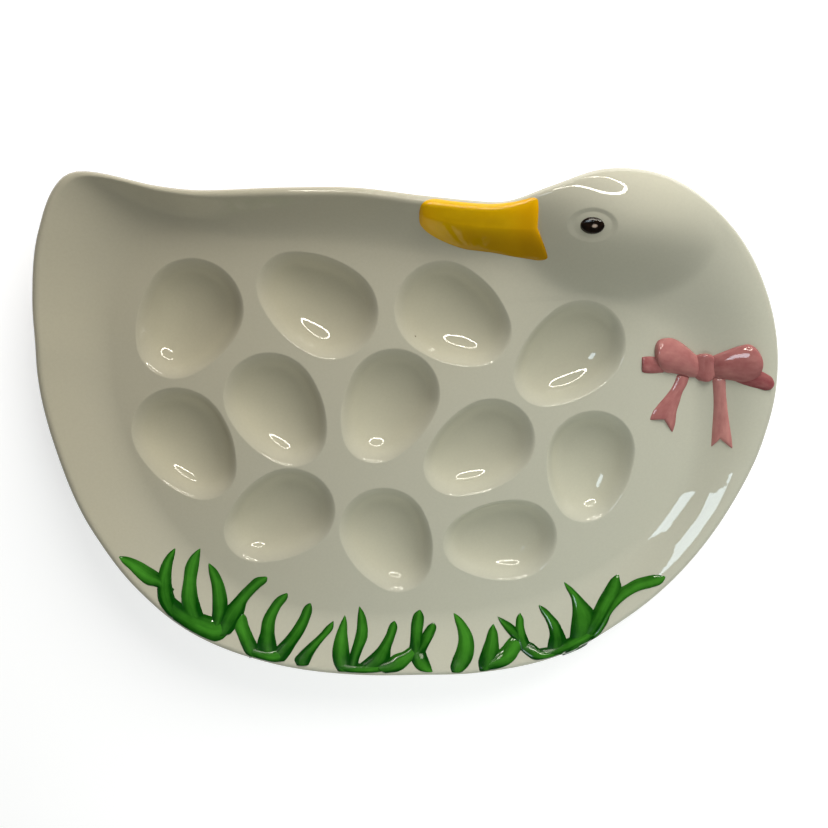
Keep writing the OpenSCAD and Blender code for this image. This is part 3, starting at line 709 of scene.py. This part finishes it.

# Bow. Two full loops that run into each other over a soft knot, raised well above the ribbon
# and brushed in its rose. Each has its lines of pixels, its height and its tone; the left loop's
# lighter tone is partly a painted highlight.
bow_forms = {
    "bow_left_loop": ([
        [(654.5, 354), (655, 346), (658, 340.5), (665, 338), (672, 338), (680, 341.5),
         (687, 346.5), (692, 351), (699, 357)],
        [(654.8, 357), (656.5, 364), (661, 370.5), (667, 373), (675, 374), (683, 376),
         (690, 377.5), (699, 378)]], 3.8, 0.46),
    "bow_right_loop": ([
        [(760.5, 362), (759.5, 353), (755, 347), (748, 344), (742, 345), (735, 347), (727, 350),
         (718, 353.5), (709, 357)],
        [(760.3, 365), (759, 375), (753, 381), (745, 383), (738, 382), (733, 381), (727, 380),
         (720, 379), (710, 378)]], 3.6, 0.36),
    "bow_knot": ([
        [(703, 353.5), (697, 355), (692.5, 360), (691.5, 367), (693, 375), (698, 380),
         (704, 381.8)],
        [(705, 353.5), (711, 354.5), (716, 359), (717.5, 366), (717, 374), (712, 380),
         (706, 381.8)]], 2.6, 0.36)}
for name, (lines, height, tone) in bow_forms.items():
    piece = relief_object("brushed_" + name, [relief_skin(
        lines, height, rows=44, columns=23, sink=0.6, across=pillow(0.55),
        along=rounded_ends(5))], [tone])
    piece.data.materials.append(rose)
    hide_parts(name)
    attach(piece, "root")

# Grass. Clumps of pointed blades along the front rim, carved into the mould and brushed green:
# dark at the roots, and lighter along the middle of each blade. A clump's first form is the turf
# that its blades stand on, and the blades are spread a little wider than their lines.
BLADE_SPREAD = 1.14
# The lone blade right of the middle is painted paler than the rest
PALE_TONE = 0.62
clumps = {
    "grass_clump_tail_side": [
        [[(166, 604), (170, 617), (180, 625), (195, 634), (208, 640), (215, 642), (222, 640),
          (230, 632), (235, 626)],
         [(168, 590), (178, 600), (190, 608), (205, 614), (218, 617), (230, 616), (237, 617)]],
        [[(174, 590), (158, 573), (150, 568), (140, 562), (125, 556.5), (118, 556)],
         [(166, 602), (158, 587), (147, 584), (138, 577), (130, 569), (122, 562), (118, 556)]],
        [[(208, 634), (212, 620), (213, 600), (212, 585), (209, 572), (208, 562)],
         [(222, 628), (227, 603), (225, 590), (221, 578), (215, 568), (208, 562)]],
        [[(170, 617), (163, 608), (159, 600), (158, 590), (160, 570), (164, 560), (170, 552),
          (176, 547)],
         [(187, 620), (176, 602), (172, 590), (171, 575), (172, 565), (175, 553), (176, 547)]],
        [[(192, 632), (185, 617), (183, 608), (182, 595), (184, 580), (186, 566), (192, 555),
          (201, 547)],
         [(208, 628), (200, 607), (197, 595), (196, 580), (198, 568), (200, 555), (201, 547)]],
        [[(212, 636), (225, 609), (232, 602), (240, 593), (248, 585), (256, 578), (268, 576)],
         [(230, 634), (240, 620), (244, 610), (246, 603), (252, 595), (260, 587), (267, 581),
          (268, 576)]]],
    "grass_clump_left": [
        [[(246, 653), (255, 658), (265, 661), (275, 662.5), (283, 661), (288, 656)],
         [(246, 640), (256, 646), (266, 648), (276, 648), (284, 645), (290, 642)]],
        [[(250, 658), (246, 653), (242, 645), (238, 635), (235, 627), (236, 618), (241, 611)],
         [(262, 655), (257, 645), (253, 637), (248, 625), (245, 615), (241, 611)]],
        [[(262, 658), (258, 645), (261, 632), (263, 620), (270, 607), (278, 597), (288, 592)],
         [(276, 660), (276, 647), (274, 632), (275, 620), (280, 608), (288, 596), (288, 592)]],
        [[(268, 660), (276, 648), (283, 641), (292, 630), (300, 617), (306, 605), (311, 602)],
         [(284, 661), (288, 656), (295, 645), (303, 633), (309, 620), (312, 608), (311, 602)]]],
    "grass_blade_left": [
        [[(297, 665), (295, 660), (300, 653), (308, 645), (320, 634), (328, 625), (334, 620)],
         [(308, 665), (312, 656), (317, 648), (325, 638), (333, 628), (334, 620)]]],
    "grass_clump_middle": [
        [[(336, 668), (345, 672), (360, 673), (373, 673), (385, 672)],
         [(337, 660), (347, 662), (360, 663), (373, 662), (388, 658)]],
        [[(338, 671), (335, 665), (333, 655), (335, 640), (340, 625), (345, 614)],
         [(350, 671), (349, 655), (348, 645), (347, 635), (346.5, 620), (345, 614)]],
        [[(346, 671), (350, 655), (354, 643), (357, 630), (358, 615), (359, 605)],
         [(357, 672), (358, 662), (362, 650), (367, 637), (367, 625), (364, 613), (359, 605)]],
        [[(352, 672), (357, 667), (368, 658), (378, 648), (386, 635), (392, 622), (395, 620)],
         [(374, 672), (389, 659), (390, 650), (394, 638), (397, 625), (395, 620)]],
        [[(372, 664), (389, 659), (395, 655), (403, 652), (410, 647), (416, 640)],
         [(385, 673), (400, 670), (412, 660), (424, 650)]],
        [[(408, 655), (410, 647), (411, 635), (412, 622), (415, 613), (420, 609)],
         [(424, 655), (423, 645), (422, 635), (422, 612), (420, 609)]],
        [[(412, 656), (418, 645), (424, 632), (430, 624), (434, 622)],
         [(424, 656), (426, 650), (430, 642), (434, 634), (436, 626), (434, 622)]],
        [[(410, 650), (412, 660), (418, 669), (426, 672), (433, 672)],
         [(424, 648), (426, 655), (428, 660), (431, 667), (433, 672)]]],
    "grass_blade_right": [
        [[(452, 672), (451, 668), (453, 660), (457, 650), (459, 640), (458, 630), (455, 620),
          (453, 612)],
         [(462, 672), (466, 668), (471, 660), (473.5, 648), (472, 636), (467, 626), (460, 617),
          (453, 612)]]],
    "grass_clump_breast_side": [
        [[(534, 658), (542, 659), (555, 656), (570, 650), (585, 643), (600, 633), (606, 625)],
         [(540, 648), (552, 646), (564, 640), (578, 632), (590, 624), (600, 612)]],
        [[(482, 660), (500, 650), (512, 637), (522, 632)],
         [(482, 671), (498, 668), (508, 664), (515, 658), (520, 650), (530, 640)]],
        [[(480, 671), (479, 663), (482, 652), (486, 640), (490, 628), (493.5, 623)],
         [(492, 669), (498, 655), (498, 642), (497, 632), (493.5, 623)]],
        [[(520, 646), (512, 637), (505, 629), (500, 622), (497, 616)],
         [(526, 636), (515, 627), (510, 623), (503, 619), (497, 616)]],
        [[(520, 650), (516, 636), (516, 625), (517, 617), (520, 612)],
         [(532, 648), (528, 640), (524, 628), (523, 618), (520, 612)]],
        [[(522, 640), (533, 644), (540, 649), (550, 650), (560, 648)],
         [(521, 650), (527, 655), (534, 659), (542, 659), (555, 656), (566, 651)]],
        [[(552, 655), (549, 650), (550, 632), (546, 620), (540, 610), (538, 604)],
         [(570, 652), (566, 640), (562, 630), (558, 622), (552, 615), (545, 608), (538, 604)]],
        [[(564, 655), (570, 640), (572, 625), (573, 610), (571, 597), (566, 588), (563, 581)],
         [(586, 645), (594, 625), (593, 612), (585, 602), (578, 594), (570, 586), (563, 581)]],
        [[(572, 650), (580, 632), (593, 612), (600, 598), (606, 588), (612, 578), (619, 573)],
         [(592, 640), (604, 622), (612, 606), (618, 596), (621, 588), (620, 581), (619, 573)]],
        [[(590, 640), (604, 615), (612, 600), (621, 588), (628, 584), (635, 580), (645, 577),
          (655, 575), (667, 576)],
         [(600, 634), (606, 625), (612, 612), (620, 603), (630, 595), (640, 590), (652, 587),
          (662, 583), (667, 576)]]]}
green, graph, shader = new_material("green_glaze", colour(48, 104, 30))
tone_in = graph.add("Attribute", attribute_name="tone").outputs["Fac"]
parts = graph.add("SeparateXYZ", {"Vector": graph.add("UVMap", uv_map="along").outputs["UV"]})
across_blade = graph.math("ABSOLUTE", graph.math("SUBTRACT", graph.math(
    "MODULO", parts.outputs["X"], UV_STEP), 0.5))
middle_light = graph.ramp(across_blade, 0.05, 0.42, 0.30, -0.25)
up_blade = graph.ramp(parts.outputs["Y"], 0.1, 0.65, -0.30, 0.12)
lightness = graph.math("ADD", tone_in, graph.math("ADD", middle_light, up_blade))
node = use_group(graph, brush, {"Dark": colour(2, 64, 0), "Light": colour(64, 136, 37),
                                "Strokes": 5.0, "Length": 2.5, "Lightness": lightness,
                                "Contrast": 0.5})
finish_shader(graph, shader, node.outputs["Color"],
              graph.ramp(parts.outputs["Y"], 0.1, 0.5, 0.18, 0.04),
              node.outputs["Height"])


def blade_rise(v):
    """Profile along a blade from its root, sunk a little into the clump, to its low tip: a run
    up from 0.72 to 1, times 1 - v^5 to the power 0.6."""
    return (0.72 + 0.28 * np.minimum(1, v / 0.3)) * np.maximum(0, 1 - v**5) ** 0.6


for name, blades in clumps.items():
    # Tones from 0.22 to 0.48, each a golden section on from the one before
    tones = (0.22 + 0.26 * np.modf(np.arange(len(blades)) * 0.618 + 0.3)[0]).tolist()
    if name == "grass_blade_right":
        tones = [PALE_TONE]
    skins = [relief_skin(lines, height=1.2, rows=26, columns=13, sink=0.3, across=pillow(0.5),
                         along=blade_rise,
                         spread=BLADE_SPREAD if k or len(blades) == 1 else 1.0)
             for k, lines in enumerate(blades)]
    piece = relief_object("brushed_" + name, skins, tones)
    piece.data.materials.append(green)
    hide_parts(name)
    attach(piece, "root")

# Table and light, in metres. A plain white table and a white room stand round the dish, lit by a
# soft key lamp behind the head's side and a weaker fill in front. A round tube lamp, a tall
# window, a dim ceiling and two dim screens only show in the glaze.
TABLE_HALF, TABLE_GLOW, ROOM_LIGHT = 3.0, 0.5, 0.22


def seen_directly(graph):
    """1 for rays from the camera and for those that mirrors and glass send on."""
    path = graph.add("LightPath")
    return graph.math("ADD", path.outputs["Is Camera Ray"], graph.math(
        "ADD", path.outputs["Is Glossy Ray"], path.outputs["Is Transmission Ray"]), clamp=True)


def stage_material(name, surface_of):
    """A material whose surface is the shader socket that surface_of makes in its graph."""
    material = bpy.data.materials.new(name)
    material.use_nodes = True
    material.node_tree.nodes.clear()
    graph = Graph(material.node_tree)
    graph.add("OutputMaterial", {"Surface": surface_of(graph)})
    return material


def table_surface(graph):
    """Plain white that keeps shadows, lifted where it is seen so that it shows white."""
    plain = graph.add("BsdfDiffuse", {"Color": (0.8, 0.8, 0.8, 1.0)})
    glow = graph.add("Emission", {"Color": (1, 1, 1, 1), "Strength": graph.math(
        "MULTIPLY", seen_directly(graph), TABLE_GLOW)})
    return graph.add("AddShader", {0: plain.outputs[0], 1: glow.outputs[0]}).outputs[0]


def stage_object(name, points, faces, material, move=Matrix()):
    """A thing of the room, which isn't part of the platter."""
    mesh = bpy.data.meshes.new(name)
    mesh.from_pydata(points, [], faces)
    mesh.transform(move)
    obj = bpy.data.objects.new(name, mesh)
    obj.data.materials.append(material)
    scene.collection.objects.link(obj)
    return obj


def rectangle(half_w, half_h):
    """Corners of a flat sheet round the origin."""
    return [(-half_w, -half_h, 0), (half_w, -half_h, 0), (half_w, half_h, 0),
            (-half_w, half_h, 0)]


table = stage_object("table", rectangle(TABLE_HALF, TABLE_HALF), [(0, 1, 2, 3)],
                     stage_material("table", table_surface))

world = bpy.data.worlds.new("studio")
scene.world = world
world.use_nodes = True
world.node_tree.nodes.clear()
graph = Graph(world.node_tree)
strength = graph.add("MapRange", {"Value": seen_directly(graph), "From Min": 0.0,
                                  "From Max": 1.0, "To Min": ROOM_LIGHT,
                                  "To Max": 1.0}).outputs["Result"]
sky = graph.add("Background", {"Color": (1, 1, 1, 1), "Strength": strength})
graph.add("OutputWorld", {"Surface": sky.outputs[0]})


def facing_dish(at):
    """Moves a thing to a place, its -Z side, where a lamp shines, turned to the dish's middle."""
    return Matrix.Translation(at) @ at.to_track_quat("Z", "Y").to_matrix().to_4x4()


def soft_lamp(name, at, size, watts, tint):
    """A round soft lamp turned to the middle of the dish, which the glaze doesn't mirror."""
    lamp = bpy.data.lights.new(name, "AREA")
    lamp.shape = "DISK"
    lamp.size = size
    lamp.energy = watts
    lamp.color = tint
    obj = bpy.data.objects.new(name, lamp)
    obj.matrix_world = facing_dish(Vector(at))
    obj.visible_glossy = False
    scene.collection.objects.link(obj)


soft_lamp("key", at=(0.20, 0.62, 0.36), size=0.55, watts=5.95, tint=(1.0, 0.985, 0.955))
soft_lamp("fill", at=(0.16, -0.40, 0.40), size=0.4, watts=1.1, tint=(0.93, 1.0, 0.97))


def glow_material(name, tint, strength):
    """A material that only glows."""
    return stage_material(name, lambda graph: graph.add("Emission", {
        "Color": tint, "Strength": strength}).outputs[0])


def reflected_only(obj):
    """Lets a thing show in the glaze, and keeps its light and its shadow out of the scene."""
    obj.visible_camera = obj.visible_diffuse = obj.visible_shadow = False
    obj.visible_transmission = False


# The tube is a ring of circles: its radius plus the tube's radius times cosine and sine
RING_AT = Vector((0.045, 0.34, 0.28))
RING_R, TUBE_R = 0.13, 0.007
RING_STEPS, TUBE_STEPS = 96, 12
ring_angle, tube_angle = np.meshgrid(np.linspace(0, 2 * np.pi, RING_STEPS, endpoint=False),
                                     np.linspace(0, 2 * np.pi, TUBE_STEPS, endpoint=False),
                                     indexing="ij")
tube = np.stack([(RING_R + TUBE_R * np.cos(tube_angle)) * np.cos(ring_angle),
                 (RING_R + TUBE_R * np.cos(tube_angle)) * np.sin(ring_angle),
                 TUBE_R * np.sin(tube_angle)], axis=-1).reshape(-1, 3)
last = (RING_STEPS - 1) * TUBE_STEPS
ring_faces = grid_faces(0, RING_STEPS, TUBE_STEPS) + [
    [last + k, last + (k + 1) % TUBE_STEPS, (k + 1) % TUBE_STEPS, k] for k in range(TUBE_STEPS)]
reflected_only(stage_object(
    "ring_lamp", tube.tolist(), ring_faces,
    glow_material("ring_glow", colour(255, 250, 236), strength=30.0), Matrix.Translation(RING_AT)))

# The window stands high up at the tail's side: azimuth from +X, and angle from straight up
WINDOW_HALF_W, WINDOW_HALF_H, WINDOW_REACH = 0.165, 0.32, 1.5
azimuth, zenith = math.radians(159), math.radians(34)
window_at = WINDOW_REACH * Vector((math.sin(zenith) * math.cos(azimuth),
                                   math.sin(zenith) * math.sin(azimuth), math.cos(zenith)))
reflected_only(stage_object(
    "window", rectangle(WINDOW_HALF_W, WINDOW_HALF_H), [(0, 1, 2, 3)],
    glow_material("window_glow", colour(222, 240, 252), strength=9.0), facing_dish(window_at)))

# The ceiling is a half sphere over the table, closed at the top with one face
DOME_R, DOME_ROUND, DOME_RINGS = 2.6, 48, 14
dome_turn, dome_up = np.meshgrid(np.linspace(0, 2 * np.pi, DOME_ROUND, endpoint=False),
                                 np.radians(np.linspace(0.5, 88, DOME_RINGS)), indexing="ij")
dome_points = np.stack([DOME_R * np.cos(dome_up) * np.cos(dome_turn),
                        DOME_R * np.cos(dome_up) * np.sin(dome_turn),
                        DOME_R * np.sin(dome_up)], axis=-1).reshape(-1, 3)
last = (DOME_ROUND - 1) * DOME_RINGS
dome_faces = grid_faces(0, DOME_ROUND, DOME_RINGS, closed=False) + [
    [last + k, last + k + 1, k + 1, k] for k in range(DOME_RINGS - 1)] + [
    [DOME_RINGS * k + DOME_RINGS - 1 for k in range(DOME_ROUND)]]
ceiling_glow = glow_material("ceiling_glow", colour(255, 253, 248), strength=0.05)
reflected_only(stage_object("dim_ceiling", dome_points.tolist(), dome_faces, ceiling_glow))

# The screens are as dim as the ceiling, cut so that they keep the window out of the wells but
# leave it to the slope at the breast, and leave the round lamp to both. Height, then outline
screens = {0.12: [(0.0365, 0.035), (-0.065, 0.035), (-0.085, 0.066), (-0.085, 0.3), (-0.5, 0.3),
                  (-0.5, -0.15), (-0.0419, -0.15)],
           0.20: [(-0.0207, 0.115), (-0.06, 0.115), (-0.06, 0.15), (-0.1, 0.15), (-0.1, 0.3),
                  (-0.4, 0.3), (-0.4, -0.12), (-0.1204, -0.12)]}
for up, outline in screens.items():
    reflected_only(stage_object(
        "screen_%03d" % round(up * 1000), [(px, py, up) for px, py in outline],
        [range(len(outline))], ceiling_glow))
